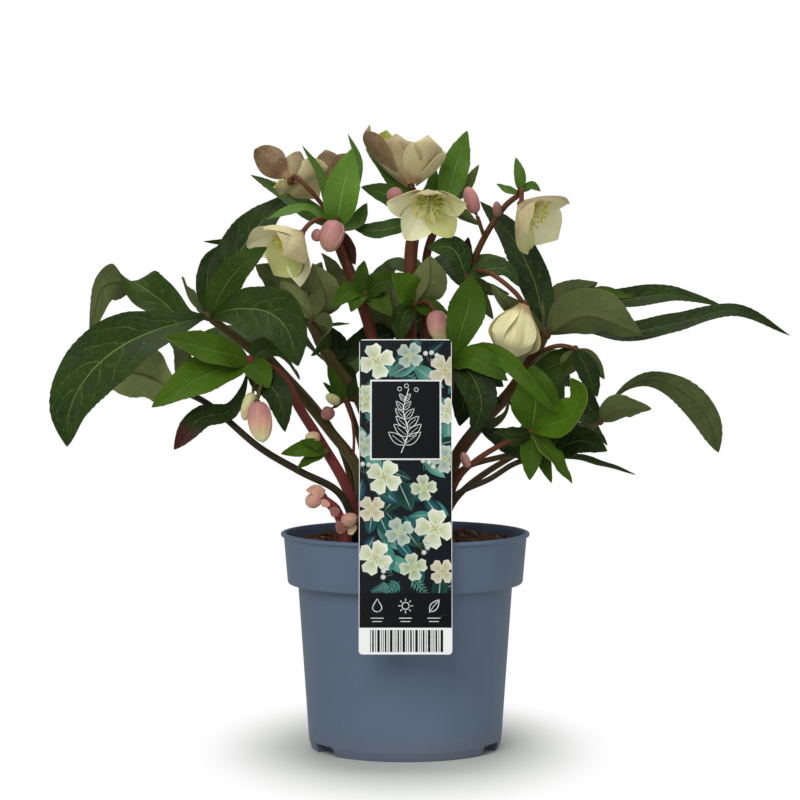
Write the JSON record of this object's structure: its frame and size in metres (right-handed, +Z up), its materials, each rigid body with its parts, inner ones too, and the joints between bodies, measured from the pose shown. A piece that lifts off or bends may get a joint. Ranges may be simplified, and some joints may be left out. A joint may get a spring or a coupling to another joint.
{
  "type": "potted hellebore plant",
  "caption": "Hellebore in flower in a round nursery pot with soil: branching stems, compound leathery leaves, nodding cup flowers, buds, and a tall hanging plant label.",
  "frame": {"origin": "centre of the pot's underside", "axes": "+Z up along the pot's axis, -Y towards the side with the plant label, +X to the right as that side is seen"},
  "size_m": [0.4865, 0.2485, 0.4263],
  "materials": {
    "pot": "matte",
    "soil": "matte",
    "label": "satin",
    "stem": "satin",
    "leaf": "satin",
    "bract": "satin",
    "petal": "satin",
    "bud": "satin"
  },
  "bodies": {
    "root": {"pot": "pot", "soil": "soil", "plant_label": "label", "stem_left": "stem", "stem_tall_left": "stem", "stem_centre": "stem", "stem_centre_rear": "stem", "stem_right": "stem", "shoot_front": "stem", "leaf_left_high": "leaf", "leaf_left_bright": "leaf", "leaf_left_low": "leaf", "leaf_stem_left": "leaf", "leaf_stem_centre": "leaf", "leaf_centre_bright": "leaf", "leaf_centre_low": "leaf", "leaf_right_high": "leaf", "leaf_right_hanging": "leaf", "leaf_right_low": "leaf", "leaf_right_far": "leaf", "leaf_right_edge": "leaf", "leaf_rear_left": "leaf", "leaf_rear_centre": "leaf", "leaf_rear_tall": "leaf", "leaf_rear_low": "leaf", "leaf_rear_right": "leaf", "leaf_rear_right_low": "leaf", "bracts_tall_left": "bract", "bracts_centre": "bract", "bracts_centre_right": "bract", "bracts_mid_right": "bract", "bracts_right": "bract", "flower_front": "petal", "flower_top": "petal", "flower_left_top": "petal", "flower_left_face": "petal", "flower_back_tall": "petal", "flower_right": "petal", "flower_bell": "petal", "bud_tall_left": "bud", "bud_tall_left_small": "bud", "bud_centre_small": "bud", "bud_right_pink": "bud", "bud_right_small": "bud", "bud_centre": "bud", "bud_left_pink": "bud", "bud_low_brown": "bud", "bud_low_peach": "bud", "bud_shoot_pink": "bud", "bud_shoot_low": "bud", "bud_right_low": "bud", "bud_pale": "bud", "bud_withered": "bud", "leaf_cane_right": "leaf", "leaf_inner_centre": "leaf", "leaf_inner_left": "leaf", "leaf_inner_low": "leaf", "leaf_inner_right": "leaf", "leaf_low_bright": "leaf", "leaf_side_left": "leaf"}
  },
  "joints": []
}
